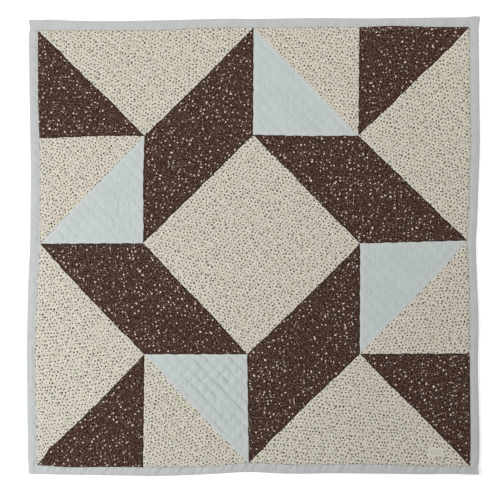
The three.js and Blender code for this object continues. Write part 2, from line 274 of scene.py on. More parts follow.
print("patches:", len(PATCHES))

# %% [markdown]
# ## A net over a patch
#
# All seams run along the squares or across their diagonals. A fine square net therefore fits every patch: a
# net cell is wholly inside a patch, or halved by a slanting seam, or outside. Four points near the middles
# of a cell's sides tell which. Cells are cut into two triangles along the stitched line that crosses them,
# so that the creases of the quilting stay sharp where a needle has been.
#
# The edges that only one triangle has form the rim.

# %% Net of a patch
NET_STEPS = 5
NET = NET_STEPS * HALF_DIAMONDS
CELL_POINTS = [(0.5, 0.2), (0.8, 0.5), (0.5, 0.8), (0.2, 0.5)]


def rim_edges(triangles):
    """The directed edges of triangles that no neighbour runs along the other way."""
    edges = np.concatenate([triangles[:, [0, 1]], triangles[:, [1, 2]], triangles[:, [2, 0]]])
    count = triangles.max() + 1
    forward = edges[:, 0] * count + edges[:, 1]
    backward = edges[:, 1] * count + edges[:, 0]
    return edges[~np.isin(forward, backward)]


def patch_net(corners):
    """Net points of a patch (column, row) and its triangles, against the clock."""
    low_column, low_row = corners.min(0) * NET
    high_column, high_row = corners.max(0) * NET
    i, j = np.meshgrid(np.arange(low_column, high_column), np.arange(low_row, high_row), indexing="ij")
    i, j = i.ravel(), j.ravel()
    below, right, above, left = (
        (side_distances(corners, (i + across) / NET, (j + up) / NET) > 0).all(-1)
        for across, up in CELL_POINTS
    )
    whole = below & right & above & left
    rising = whole & ((i - j) % (2 * NET_STEPS) == NET_STEPS)
    falling = whole & ~rising
    wide = SQUARES * NET + 1
    low = i * wide + j
    low_right, high, low_left = low + wide, low + wide + 1, low + 1
    kinds = [
        (rising | (below & right & ~whole), (low, low_right, high)),
        (rising | (above & left & ~whole), (low, high, low_left)),
        (falling | (below & left & ~whole), (low, low_right, low_left)),
        (falling | (above & right & ~whole), (low_right, high, low_left)),
    ]
    keys = np.concatenate([np.stack(nodes, 1)[chosen] for chosen, nodes in kinds])
    used, triangles = np.unique(keys, return_inverse=True)
    return np.stack([used // wide, used % wide], 1) / NET, triangles.reshape(-1, 3)


centre_points, centre_triangles = patch_net(PATCHES["cream_centre"])
print("net of the centre:", len(centre_points), "points,", len(centre_triangles), "triangles")

# %% [markdown]
# ## Quilting
#
# The stitched lines cross the blanket on both diagonals. If u and v count those lines, the wadding is full
# halfway between two lines and pressed flat on each, so what a line takes away follows the sine of its
# count. A power below one keeps the pillows full and the lines narrow. The falling lines are pulled tighter
# than the rising ones, and neither is pulled evenly. No two pillows hold the same wadding, so each diamond
# has its own share of the full height. A few places are pulled tighter or looser as a whole.

# %% Height of the quilting
STITCH_HEIGHT = 0.0045
PUFF = 0.0024
FULLNESS = 0.5
DIAMONDS = 160
DIAMOND_SHARE = random.uniform(0.8, 1.06, (DIAMONDS, DIAMONDS))
SHORTEST_WAVE = 0.05
LAST_START = 6.28


def waves(count):
    """Random directions and starts of waves that are one to three times as long as the shortest."""
    angle = random.uniform(0, 2 * np.pi, count)
    length = SHORTEST_WAVE * random.uniform(1, 3, count)
    start = random.uniform(0, LAST_START, count)
    return 2 * np.pi * np.cos(angle) / length, 2 * np.pi * np.sin(angle) / length, start


def uneven(x, y, kind):
    """A slow unevenness, mostly from -1 to 1: the sum of waves, divided by the root of twice their number."""
    across, up, start = kind
    return np.sin(x[..., None] * across + y[..., None] * up + start).sum(-1) / np.sqrt(2 * len(start))


# mean pull of a family of lines, how uneven it is, its least and its most
FALLING = (0.90, 0.50, 0.20, 1.25)
RISING = (0.30, 0.25, 0.05, 0.70)
FALLING_WAVES = waves(6)
RISING_WAVES = waves(6)
SWELL_WAVES = waves(7)


def left_by(count, x, y, pull, kind):
    """What a family of lines leaves: 1, less its pull times what the sine of its count lacks of 1."""
    mean, spread, least, most = pull
    depth = np.clip(mean + spread * uneven(x, y, kind), least, most)
    return 1 - depth * (1 - np.abs(np.sin(np.pi * count)) ** FULLNESS)


def pillow(column, row):
    """Fullness of the wadding: what both families of lines leave, times the share of the diamond."""
    i, j = column * HALF_DIAMONDS, row * HALF_DIAMONDS
    u, v = (i + j + 1) / 2, (i - j + 1) / 2
    x, y = column * SQUARE_SIDE, row * SQUARE_SIDE
    full = left_by(u, x, y, FALLING, FALLING_WAVES) * left_by(v, x, y, RISING, RISING_WAVES)
    return full * DIAMOND_SHARE[np.floor(u).astype(int) % DIAMONDS, np.floor(v).astype(int) % DIAMONDS]


TIGHT_PLACES = np.array([
    # right, up, reach, share
    (-0.085, -0.315, 0.11, 0.85), (0.320, -0.040, 0.09, -0.50),
    (0.060, 0.330, 0.09, -0.35), (-0.306, 0.091, 0.09, -0.40),
])


def bell(distance, width):
    """A bell curve: 1 at no distance, and e to the power of -1 at a distance of its width."""
    return np.exp(-((distance / width) ** 2))


def tightness(x, y):
    """How hard the quilting is pulled: 1, plus each place's share times a bell of the distance from it."""
    right, up, reach, share = TIGHT_PLACES.T
    return 1 + (share * bell(np.hypot(x[..., None] - right, y[..., None] - up), reach)).sum(-1)


print("fullness in the middle of a diamond:", pillow(np.array(2.0), np.array(2.0)).round(3))

# %% [markdown]
# Washing pulls at the stitches and leaves a few larger creases, which show in the plain blue cloth. They are
# listed one by one: each row has the two ends of a crease, its depth and its width. A crease is a soft trough
# round the line between its ends.

# %% Creases
CREASES = MM * np.array([
    # lower blue triangle
    (-122, -306, -120, -329, 1.0, 3.0), (-85, -321, -81, -352, 1.2, 3.4), (-68, -354, -60, -378, 1.0, 3.2),
    (-29, -398, -20, -432, 1.0, 3.0), (-149, -278, -134, -296, 0.9, 3.0), (-49, -281, -53, -307, 0.7, 3.4),
    (-104, -262, -98, -283, 0.6, 3.4),
    # upper blue triangle
    (80, 336, 80, 298, 0.9, 3.4), (96, 340, 98, 315, 0.7, 3.0),
    (42, 364, 38, 306, 0.8, 3.6), (20, 386, 33, 346, 0.7, 3.4),
    # left blue triangle
    (-293, 113, -298, 69, 0.8, 3.4), (-271, 93, -267, 35, 1.0, 3.4),
    (-258, 75, -260, 22, 0.8, 3.0), (-313, 69, -304, 40, 0.6, 3.0),
    # right blue triangle
    (283, -67, 281, -98, 0.6, 3.4), (319, -60, 321, -82, 0.5, 3.4), (415, 2, 412, -25, 0.6, 3.4),
])


def crease_depth(x, y):
    """Depth of the creases: each is its depth times a bell of the distance from its line."""
    start, end = CREASES[:, 0:2], CREASES[:, 2:4]
    run = end - start
    from_start = np.stack([x, y], -1)[..., None, :] - start
    share = np.clip((from_start * run).sum(-1) / (run**2).sum(-1), 0, 1)
    away = np.linalg.norm(from_start - share[..., None] * run, axis=-1)
    return (CREASES[:, 4] * bell(away, CREASES[:, 5])).sum(-1)


print("creases placed:", len(CREASES))

# %% [markdown]
# The face is lowest in the seams. Beside a seam the wadding is held down, and more so beside the binding. A
# narrow dip marks the seam itself, where two cloths turn down into it, and the rim of the pieced face dives
# under the hem of the binding. A slow swell runs over the whole cloth.

# %% Height of the pieced face
SEAM_SHARE = 0.6
SEAM_REACH = 0.006
EDGE_SHARE = 0.2
EDGE_REACH = 0.010
SEAM_DIP = 0.0006
SEAM_WIDTH = 0.0022
SWELL = 0.0003
RIM_DIVE = 0.0009
RIM_WIDTH = 0.0015
MIDDLE_PUFF = 0.6


def face_height(column, row, seam):
    """Stitch height, plus the puffs where they are not held down, plus the swell, less dips and creases."""
    x, y = cloth_place(column, row)
    from_side = from_edge(column, row)
    held = 1 - (1 - SEAM_SHARE) * bell(seam, SEAM_REACH)
    held = held * (1 - (1 - EDGE_SHARE) * bell(from_side, EDGE_REACH))
    dip = SEAM_DIP * bell(seam, SEAM_WIDTH) + RIM_DIVE * bell(from_side, RIM_WIDTH)
    puff = PUFF * held * tightness(x, y) * (pillow(column, row) - MIDDLE_PUFF) + PUFF * MIDDLE_PUFF
    return STITCH_HEIGHT + puff + SWELL * uneven(x, y, SWELL_WAVES) - dip - crease_depth(x, y)


sample = np.linspace(0.5, 3.5, 400)
heights = face_height(sample, sample * 0 + 2.3, sample * 0 + 1)
print("face height along a row:", heights.min().round(5), "to", heights.max().round(5))

# %% [markdown]
# ## From arrays to pieces
#
# A mesh in Blender takes whole arrays: points, faces with the same number of corners, and the cloth map,
# which lays each piece flat in metres so that a print can follow the weave. A signed volume tells whether
# the faces of a closed piece look outwards, and they are turned over where they do not.
#
# Cloth is thin, but it has two sides. A sheet is therefore its face, the same face one thickness lower, and
# a strip that joins the two rims.

# %% Mesh helpers
CLOTH_MAP = "cloth"
SHARP_ANGLE = 0.9


def signed_volume(points, faces):
    """Volume inside closed faces: a sixth of the triple product of every triangle of a fan over each face."""
    total = 0.0
    for corner in range(1, faces.shape[1] - 1):
        a, b, c = (points[faces[:, k]] for k in (0, corner, corner + 1))
        total += np.einsum("ij,ij->i", a, np.cross(b, c)).sum() / 6
    return total


def linked(name, data):
    """A new object of some data, put into the scene."""
    made = bpy.data.objects.new(name, data)
    bpy.context.scene.collection.objects.link(made)
    return made


def new_piece(name, points, faces, flat):
    """A closed mesh object from its points, its faces and each point's place on the flat cloth."""
    if signed_volume(points, faces) < 0:
        faces = faces[:, ::-1]
    mesh = bpy.data.meshes.new(name)
    mesh.vertices.add(len(points))
    mesh.vertices.foreach_set("co", points.ravel().astype(np.float32))
    mesh.loops.add(faces.size)
    mesh.loops.foreach_set("vertex_index", faces.ravel().astype(np.int32))
    mesh.polygons.add(len(faces))
    mesh.polygons.foreach_set("loop_start", np.arange(0, faces.size, faces.shape[1], dtype=np.int32))
    cloth_map = mesh.uv_layers.new(name=CLOTH_MAP)
    cloth_map.data.foreach_set("uv", flat[faces.ravel()].ravel().astype(np.float32))
    mesh.update(calc_edges=True)
    mesh.set_sharp_from_angle(angle=SHARP_ANGLE)
    return linked(name, mesh)


def closed_sheet(face, triangles, thickness):
    """Points and faces of a thin cloth: a face, its turned copy a thickness lower, the strip between."""
    count = len(face)
    start, end = rim_edges(triangles).T
    under = face - [0, 0, thickness]
    sides = [np.stack([end, start, start + count], 1), np.stack([end, start + count, end + count], 1)]
    faces = np.concatenate([triangles, triangles[:, ::-1] + count, *sides])
    return np.concatenate([face, under]), faces


def grid_triangles(rows, columns):
    """Two triangles for every cell of a grid of points that is stored row by row."""
    low = (np.arange(rows - 1)[:, None] * columns + np.arange(columns - 1)).ravel()
    first = np.stack([low, low + columns, low + columns + 1], 1)
    second = np.stack([low, low + columns + 1, low + 1], 1)
    return np.concatenate([first, second])


def lifted(places, height):
    """Places on the floor with their heights as a third number."""
    return np.concatenate([places, height[..., None]], -1)


print("triangles in a grid of 3 by 4 points:", len(grid_triangles(3, 4)))

# %% [markdown]
# ## A small language for shaders
#
# Cloth is painted with sums of noise, dots and specks. Written as nodes that is hard to read, so one small
# class wraps the output of a node. Sums and products of wrapped values add Math nodes by themselves, with a
# plain number on either side. Anything else comes from one method that takes a node's type, its settings
# and the values or links of its inputs.

# %% Wires
class Wire:
    """An output of a shader node, with arithmetic that adds Math nodes to the same material."""

    def __init__(self, tree, socket=None):
        self.tree = tree
        self.socket = socket

    def node(self, kind, settings, inputs, output=0):
        """A new node: first its settings, then its inputs by name or number, as a wire or a plain value."""
        made = self.tree.nodes.new(kind)
        for name, value in settings.items():
            setattr(made, name, value)
        for name, value in inputs.items():
            if isinstance(value, Wire):
                self.tree.links.new(value.socket, made.inputs[name])
            else:
                made.inputs[name].default_value = value
        return Wire(self.tree, made.outputs[output])

    def math(self, operation, *values):
        """A Math node of an operation on wires or numbers."""
        return self.node("ShaderNodeMath", {"operation": operation}, dict(enumerate(values)))

    def __add__(self, other):
        return self.math("ADD", self, other)

    def __sub__(self, other):
        return self.math("SUBTRACT", self, other)

    def __rsub__(self, other):
        return self.math("SUBTRACT", other, self)

    def __mul__(self, other):
        return self.math("MULTIPLY", self, other)

    __radd__ = __add__
    __rmul__ = __mul__

    def clamp(self):
        """The value kept between 0 and 1."""
        return self.node("ShaderNodeClamp", {}, {"Value": self})

    def blend(self, first, second):
        """A colour between two others, with this value as the share of the second."""
        inputs = {0: self, 6: first, 7: second}
        return self.node("ShaderNodeMix", {"data_type": "RGBA", "clamp_factor": True}, inputs, output=2)


def seen(red, green, blue):
    """A colour as a screen shows it, from 0 to 255, as the linear values that a shader takes."""
    share = np.array([red, green, blue]) / 255
    linear = np.where(share > 0.04045, ((share + 0.055) / 1.055) ** 2.4, share / 12.92)
    return (*linear.tolist(), 1.0)


print("a middle grey is", np.round(seen(128, 128, 128), 3))

# %% [markdown]
# ## Cotton
#
# All the cloths are plain woven cotton, a rough and slightly downy fibre. What they share is set here: a
# shader with little shine and some sheen, the flat cloth map that prints are drawn on, and a fine bump of
# crossing threads. Uneven yarn makes soft streaks in both directions, long along a thread and fine across
# it.

# %% Cotton cloth
COTTON = {"Specular IOR Level": 0.15, "Sheen Weight": 0.08, "Sheen Roughness": 0.6}
STREAKS_ALONG = 90.0
STREAKS_ACROSS = 1400.0
WEAVE_STRENGTH = 0.5
WEAVE_DEPTH = 0.0003


def new_material(name, finish):
    """A new material with a finish, given as values for its shader's inputs, and that shader."""
    material = bpy.data.materials.new(name)
    material.use_nodes = True
    shader = material.node_tree.nodes["Principled BSDF"]
    for socket, value in finish.items():
        shader.inputs[socket].default_value = value
    return material, shader


def noise_of(place, scale, detail=2.0, twist=0.0, output=0):
    """A smooth noise over places, from 0 to 1, with so many lumps to a unit of length."""
    inputs = {"Vector": place, "Scale": scale, "Detail": detail, "Distortion": twist}
    return place.node("ShaderNodeTexNoise", {"noise_dimensions": "2D"}, inputs, output)


def stretched(place, across, up):
    """Places times one number across and another one up, so that a noise over them makes streaks."""
    return place.node("ShaderNodeMapping", {}, {"Vector": place, "Scale": (across, up, 1.0)})


def add_bump(shader, height, strength, depth):
    """Adds a bump of a depth to the shader, on top of the bump that it has."""
    inputs = {"Strength": strength, "Distance": depth, "Height": height}
    normal = shader.inputs["Normal"]
    if normal.links:
        inputs["Normal"] = Wire(height.tree, normal.links[0].from_socket)
    bump = height.node("ShaderNodeBump", {}, inputs)
    height.tree.links.new(bump.socket, normal)


def cotton(name, roughness):
    """A cotton material: returns it with its shader node, its cloth map and the streaks of its yarn."""
    material, shader = new_material(name, {**COTTON, "Roughness": roughness})
    flat = Wire(material.node_tree).node("ShaderNodeUVMap", {"uv_map": CLOTH_MAP}, {})
    warp = noise_of(stretched(flat, STREAKS_ALONG, STREAKS_ACROSS), 1.0, 1.0)
    weft = noise_of(stretched(flat, STREAKS_ACROSS, STREAKS_ALONG), 1.0, 1.0)
    streaks = warp + weft - 1.0
    add_bump(shader, streaks, WEAVE_STRENGTH, WEAVE_DEPTH)
    return material, shader, flat, streaks


def colour_from(shader, colour):
    """Feeds a colour to the shader."""
    colour.tree.links.new(colour.socket, shader.inputs["Base Color"])


print("streaks of yarn to a metre:", int(STREAKS_ALONG), "along and", int(STREAKS_ACROSS), "across")

# %% [markdown]
# ## Prints
#
# Both prints are spots, spaced evenly but never in rows. Cell noise gives that: the cloth is cut into
# uneven cells, laid like bricks, and each cell has one spot near its middle. The cell's random colour
# decides how wide its spot is, and a little noise pushes the spots out of round. The value of a spot goes
# on falling outside its edge, so the same value can draw a soft rim round it.
#
# Cloth that turns down into a seam is lit in another way than the face, so every print has painted light
# there: a painted highlight beside the seams of the pale cloths, and painted shade beside those of the dark
# one. The points of each patch carry their distance from the seam for it.

# %% Spots
SPOTS = {
    # spacing, small and large radius, soft edge, looseness, bend of the rows, raggedness
    "dots": (0.0076, 0.00155, 0.00235, 0.0009, 0.52, 0.006, 0.10),
    "faint dots": (0.0047, 0.0007, 0.0014, 0.0011, 0.8, 0.006, 0.3),
    "large specks": (0.0088, 0.0008, 0.0019, 0.0009, 0.9, 0.014, 0.34),
    "small specks": (0.0046, 0.0003, 0.0009, 0.0008, 0.9, 0.006, 0.34),
}
BEND_CELLS = 5
RAGGED_CELLS = 0.6
BRICK_SHIFT = 0.5
SEAM = "seam"


def bent(flat, length, push):
    """The cloth map pushed about by noise with lumps of a length, so that rows of cells bend out of line."""
    inputs = {0: noise_of(flat, 1 / length, 1.0, output="Color"), 1: (push, push, 0.0), 2: flat}
    return flat.node("ShaderNodeVectorMath", {"operation": "MULTIPLY_ADD"}, inputs)


def spots(flat, spacing, small, large, soft, loose, bend, ragged):
    """The value of one spot in each cell, in rows laid like bricks, and a random value for each cell.

    A spot's value is its radius less the distance from the cell's point, over its soft edge, plus a half.
    """
    place = bent(bent(flat, BEND_CELLS * spacing, bend), RAGGED_CELLS * spacing, ragged * spacing)
    across = flat.node("ShaderNodeSeparateXYZ", {}, {"Vector": place}, "X") * (1 / spacing)
    up = flat.node("ShaderNodeSeparateXYZ", {}, {"Vector": place}, "Y") * (1 / spacing)
    row = up.math("FLOOR", up + (1 - loose) / 2)
    brick = flat.node("ShaderNodeCombineXYZ", {}, {"X": across + row * BRICK_SHIFT, "Y": up})
    cells = {"voronoi_dimensions": "2D", "feature": "F1"}
    inputs = {"Vector": brick, "Scale": 1.0, "Randomness": loose}
    away = flat.node("ShaderNodeTexVoronoi", cells, inputs, "Distance")
    chance = flat.node("ShaderNodeTexVoronoi", cells, inputs, "Color")
    first = flat.node("ShaderNodeSeparateColor", {}, {"Color": chance}, "Red")
    second = flat.node("ShaderNodeSeparateColor", {}, {"Color": chance}, "Green")
    inside = (small + first * (large - small)) - away * spacing
    return inside * (1 / soft) + 0.5, second


def over(value, least, slope):
    """0 up to a least value, then rising with a slope to 1."""
    return ((value - least) * slope).clamp()


def beside_seam(flat, reach):
    """1 on a seam, fading to 0 away from it, from the distance that the piece's points carry."""
    distance = flat.node("ShaderNodeAttribute", {"attribute_name": SEAM}, {}, "Fac")
    return (1.0 - distance * (1.0 / reach)).clamp()


def seam_tint(ground, reach, share, colour):
    """A ground that takes on a share of a colour towards a seam."""
    return (beside_seam(ground, reach) * share).blend(ground, colour)


print("kinds of spots:", list(SPOTS))

# %% [markdown]
# The cream cloth has clouds of two sizes, and warm and cool stretches of yarn. Its dots are grey-brown and
# unevenly dark, with a pale soft rim, and fainter small dots lie between them. Beside a seam the ground is
# paler, a painted highlight.

# %% Cream print
CREAM_DULL, CREAM_BRIGHT = seen(166, 160, 140), seen(217, 210, 194)
CREAM_COOL, CREAM_WARM = seen(213, 209, 188), seen(217, 208, 198)
DOT, DOT_RIM, FAINT_DOT = seen(34, 27, 16), seen(248, 241, 226), seen(122, 114, 96)
CREAM_SEAM_HIGHLIGHT = seen(230, 223, 211)
RIM_SLOPE = 0.45
RIM_SHARE = 0.46
FAINT_SHARE = 0.85
PALEST_DOT = 0.65
DOT_RANGE = 0.31
MATERIALS = {}

MATERIALS["cream"], shader, flat, streaks = cotton("cream_print", 0.9)
clouds = noise_of(flat, 60.0) * 0.6 + noise_of(flat, 240.0) * 1.2 - 0.4
ground = clouds.clamp().blend(CREAM_DULL, CREAM_BRIGHT)
tint = (noise_of(flat, 34.0, 1.0) * 3.0 - 1.0).clamp().blend(CREAM_COOL, CREAM_WARM)
ground = (streaks * 0.5 + 0.4).blend(ground, tint)
dots, shade = spots(flat, *SPOTS["dots"])
ground = ((dots * RIM_SLOPE + 1.0).clamp() * RIM_SHARE).blend(ground, DOT_RIM)
faint, odds = spots(flat, *SPOTS["faint dots"])
ground = (faint.clamp() * odds * FAINT_SHARE).blend(ground, FAINT_DOT)
# painted highlight: the ground turns paler beside a seam
ground = seam_tint(ground, 0.0035, 0.55, CREAM_SEAM_HIGHLIGHT)
strength = dots.clamp() * (PALEST_DOT + shade * DOT_RANGE)
colour_from(shader, strength.blend(ground, DOT))
print("nodes of the cream print:", len(flat.tree.nodes))

# %% [markdown]
# The dark brown cloth is the other way round, with pale specks on a mottled ground. Two layers of cells are
# laid over each other, for large and for small specks. Many cells stay empty, and some specks are faint.
# Each speck stands in a darker rim. Beside a seam the ground is darker and the specks are dimmed: painted
# shade where the cloth turns down into the seam.

# %% Dark print
DARK_DULL, DARK_BRIGHT = seen(18, 5, 0), seen(93, 64, 52)
SPECK, SPECK_RIM, DARK_SEAM_SHADE = seen(230, 208, 191), seen(6, 0, 0), seen(26, 17, 12)
EMPTY_CELLS = 0.42
SMALL_STRENGTH = 0.7
MOAT_SLOPE = 0.5
MOAT_SHARE = 0.8
SEAM_SHADE_REACH = 0.006
SEAM_SHADE_SHARE = 0.8

MATERIALS["dark"], shader, flat, _ = cotton("dark_print", 0.92)
large, chance = spots(flat, *SPOTS["large specks"])
small, odds = spots(flat, *SPOTS["small specks"])
ground = over(noise_of(flat, 280.0), 0.37, 3.8).blend(DARK_DULL, DARK_BRIGHT)
bold = over(chance, EMPTY_CELLS, 4.0)
shy = over(odds, EMPTY_CELLS, 2.0) * SMALL_STRENGTH
moat = (large * MOAT_SLOPE + 1.0).clamp() * bold + (small * MOAT_SLOPE + 1.0).clamp() * shy
ground = (moat * MOAT_SHARE).clamp().blend(ground, SPECK_RIM)
# painted shade: the ground darkens beside a seam
ground = seam_tint(ground, 0.0045, 0.6, DARK_SEAM_SHADE)
# the specks dim in the same painted shade beside a seam
unshaded_share = 1.0 - beside_seam(flat, SEAM_SHADE_REACH) * SEAM_SHADE_SHARE
specks = (large.clamp() * bold + small.clamp() * shy).clamp() * unshaded_share
colour_from(shader, specks.blend(ground, SPECK))
print("nodes of the dark print:", len(flat.tree.nodes))

# %% [markdown]
# The blue of the small triangles, the binding, the back and the label are dyed in one colour. Even so a
# plain cloth is never one flat colour: yarn takes up dye unevenly, and washing leaves faint clouds. It also
# leaves fine wrinkles, which run up and down and are a second bump on top of the weave.

# %% Plain cloths
WRINKLES_ACROSS = 170.0
WRINKLES_UP = 45.0
WRINKLE_TWIST = 0.6
WRINKLE_STRENGTH = 0.6


def plain_cloth(name, darker, lighter, roughness=0.9, wrinkled=0.0012, at_seam=None, seam_reach=0.004):
    """A dyed cotton: faint clouds between two shades, the streaks of its yarn, and wrinkles of a depth.

    The colour at a seam is only for pieces that carry the distance from one.
    """
    material, shader, flat, streaks = cotton(name, roughness)
    clouds = noise_of(flat, 22.0, 3.0) * 0.7 + streaks * 0.4 + 0.15
    colour = clouds.clamp().blend(darker, lighter)
    # towards a seam: a painted highlight on the blue cloth, and a paler band round the label's hem
    if at_seam:
        colour = seam_tint(colour, seam_reach, 0.6, at_seam)
    colour_from(shader, colour)
    place = flat.node("ShaderNodeTexCoord", {}, {}, "Object")
    wrinkles = noise_of(stretched(place, WRINKLES_ACROSS, WRINKLES_UP), 1.0, twist=WRINKLE_TWIST)
    add_bump(shader, wrinkles, WRINKLE_STRENGTH, wrinkled)
    return material


# The blue cloth is paler beside its seams, a painted highlight.
MATERIALS["blue"] = plain_cloth(
    "blue_cotton", seen(183, 191, 187), seen(198, 206, 202), wrinkled=0.0026,
    at_seam=seen(203, 204, 203), seam_reach=0.011,
)
MATERIALS["binding"] = plain_cloth(
    "binding_cotton", seen(181, 183, 181), seen(198, 200, 198), wrinkled=0.0020
)
MATERIALS["back"] = plain_cloth("back_cotton", seen(179, 183, 181), seen(194, 198, 197))
MATERIALS["label"] = plain_cloth(
    "label_tape", seen(192, 188, 176), seen(206, 202, 191), 0.75, at_seam=seen(242, 239, 228)
)
print("materials:", sorted(MATERIALS))

# %% [markdown]
# ## The patches
#
# Now the face can be sewn. Each patch takes its net, is drawn in a little from its neighbours, and gets its
# height from the quilting. Its cloth map is the even pattern, turned and shifted for each patch, because no
# two were cut from the same place on the bolt. Each point also keeps its distance from the nearest seam.
# The edges under the binding are no seams, so they count as far away.

# %% Sew the patches
SHEET = 0.0007
CLOTH_SLOTS = {"dark": "dark_print", "cream": "cream_print", "blue": "blue_cotton"}
TURN_STEP = 1.3
SHIFT_STEP = 0.71
FAR = 1.0


def finish_piece(piece, material, slot, *nodes):
    """Gives a piece its material, its body and any nodes that it stands for. The slot is not used."""
    piece.data.materials.append(material)
    if nodes:
        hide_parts(*nodes)
    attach(piece, "root")
    return piece


def drawn_in(corners, points):
    """Net points moved towards the patch's middle, so that neighbours stay clear of each other."""
    lengths = np.linalg.norm(np.roll(corners, -2, axis=0) - np.roll(corners, -1, axis=0), axis=1)
    weights = lengths if len(corners) == 3 else np.ones(len(corners))
    middle = (corners * weights[:, None]).sum(0) / weights.sum()
    inner = side_distances(corners, middle[0], middle[1]).min()
    return middle + (points - middle) * (1 - GAP / 2 / inner)


def keep_distance(piece, seam):
    """Stores the distance from the nearest seam in the points of a sheet, on both of its sides."""
    distance = piece.data.attributes.new(SEAM, "FLOAT", "POINT")
    distance.data.foreach_set("value", np.tile(np.maximum(seam, 0), 2).astype(np.float32))


def sew_patch(name, corners, number):
    """One patch as a thin quilted sheet."""
    points, triangles = patch_net(corners)
    seam = side_distances(corners, points[:, 0], points[:, 1]).min(-1)
    column, row = drawn_in(corners, points).T
    face = np.stack([*cloth_place(column, row), face_height(column, row, seam)], 1)
    sheet, faces = closed_sheet(face, triangles, SHEET)
    angle = TURN_STEP * number
    turn = np.array([[np.cos(angle), -np.sin(angle)], [np.sin(angle), np.cos(angle)]])
    flat = points * SQUARE @ turn + SHIFT_STEP * number
    piece = new_piece(f"{name}_cloth", sheet, faces, np.tile(flat, (2, 1)))
    under_binding = np.isclose(seam, from_edge(points[:, 0], points[:, 1]))
    keep_distance(piece, np.where(under_binding, FAR, seam))
    cloth = name.split("_")[0]
    return finish_piece(piece, MATERIALS[cloth], CLOTH_SLOTS[cloth], name)


patches = {name: sew_patch(name, corners, n) for n, (name, corners) in enumerate(PATCHES.items())}
print("patches sewn:", len(patches), "triangles:", sum(len(p.data.polygons) for p in patches.values()))

# %% [markdown]
# ## The back
#
# The back is one plain cloth. The quilting shows on it too, as shallow grooves along the stitched lines.
# Its rim rises a little, because the binding is folded round it.

# %% Lay the back
BACK_NET = 3 * HALF_DIAMONDS
BACK_GROOVE = 0.0010
BACK_RIM = 0.0016
RIM_INSET = 0.0028
RIM_STEPS = np.array([1.0, 0.75, 0.5, 0.25, 0.08])
RIM_RISE = 0.004
BACK_SHEET = 0.0006
outside = (BINDING_FACE - RIM_INSET) / SQUARE_SIDE * RIM_STEPS
inside = np.arange(0, SQUARES * BACK_NET + 1) / BACK_NET
lines = np.concatenate([-outside, inside, SQUARES + outside[::-1]])
column, row = (part.ravel() for part in np.meshgrid(lines, lines, indexing="ij"))
places = pulled(np.stack(cloth_place(column, row, 0.0), 1))
from_side = from_edge(column, row)
raised = BACK_RIM * np.clip(1 - from_side / RIM_RISE, 0, 1)
groove = BACK_GROOVE * (1 - np.sqrt(np.clip(pillow(column, row), 0, 1))) * np.clip(from_side / RIM_RISE, 0, 1)
face = lifted(places, BACK_SHEET + np.maximum(raised, groove))
sheet, faces = closed_sheet(face, grid_triangles(len(lines), len(lines)), BACK_SHEET)
back = new_piece("back_cloth", sheet, faces, np.tile(np.stack([column, row], 1) * SQUARE, (2, 1)))
finish_piece(back, MATERIALS["back"], "back_cotton", "back_panel")
print("back:", len(back.data.polygons), "triangles")

# %% [markdown]
# ## The binding
#
# A binding strip is folded lengthwise round the edge and sewn through. Its section is a U on its side: a
# flat leg below, a round fold, and a leg above that swells gently over the wadding. The cloth's two sides
# lie half a thickness to either side of that middle line.

# %% Fold the binding
BINDING_SHEET = 0.0011
FOLD_CENTRE = 0.0024
LEG_LOW = BINDING_SHEET / 2
LEG_HIGH = 0.0044
LEG_SWELL = 0.0008
LEG_LEAN = 0.9
LEG_POINTS = 14
FOLD_POINTS = 11


def upper_leg(inward):
    """Height of the upper leg's middle line: a sine arch that is highest near its middle."""
    return LEG_HIGH + LEG_SWELL * np.sin(np.pi * np.clip(inward / BINDING_FACE, 0, 1) ** LEG_LEAN)


def binding_middle():
    """The folded middle line as (inward, height): lower leg outwards, half circle, upper leg inwards."""
    leg = np.linspace(FOLD_CENTRE, BINDING_FACE, LEG_POINTS)
    radius = (upper_leg(FOLD_CENTRE) - LEG_LOW) / 2
    turn = np.linspace(-np.pi / 2, np.pi / 2, FOLD_POINTS)[1:-1]
    lower = np.stack([leg[::-1], np.full(len(leg), LEG_LOW)], 1)
    fold = np.stack([FOLD_CENTRE - radius * np.cos(turn), LEG_LOW + radius + radius * np.sin(turn)], 1)
    return np.concatenate([lower, fold, np.stack([leg, upper_leg(leg)], 1)])


middle_line = binding_middle()
run = np.gradient(middle_line, axis=0)
run = run / np.linalg.norm(run, axis=1)[:, None]
aside = np.stack([run[:, 1], -run[:, 0]], 1) * BINDING_SHEET / 2
section = np.concatenate([middle_line + aside, (middle_line - aside)[::-1]])
print("binding section:", len(section), "points, highest", section[:, 1].max().round(5))

# %% [markdown]
# A side of the blanket is described by the direction along it, the direction out of it, half its length,
# and how far it lies from the middle. With those one function places a point on any side.
#
# The strip follows the waving edge. Its seam pulls small puckers across it, strongest beside the stitches.
# Each strip covers the corner where it starts and stops against the side of the next one.

# %% Sides
SIDES = {
    "top": ((1, 0), (0, 1), WIDTH / 2, LENGTH / 2),
    "right": ((0, -1), (1, 0), LENGTH / 2, WIDTH / 2),
    "bottom": ((-1, 0), (0, -1), WIDTH / 2, LENGTH / 2),
    "left": ((0, 1), (-1, 0), LENGTH / 2, WIDTH / 2),
}
ORDER = list(SIDES)
STITCH_LINE = BINDING_FACE - 0.0036
LINE_DEPTH = 0.0005
LINE_WIDTH = 0.0012
PUCKER = {"top": 0.00054, "right": 0.00050, "bottom": 0.00074, "left": 0.00080}
PUCKER_RUNS = 2 * np.pi / np.array([0.0085, 0.0117, 0.0163, 0.0238, 0.041])
PUCKER_STARTS = random.uniform(0, 2 * np.pi, (4, 5))
PUCKER_LEAN = 0.5
PUCKER_LEAST = 0.35
PUCKER_REACH = 0.006
HEM_HELD = 0.65


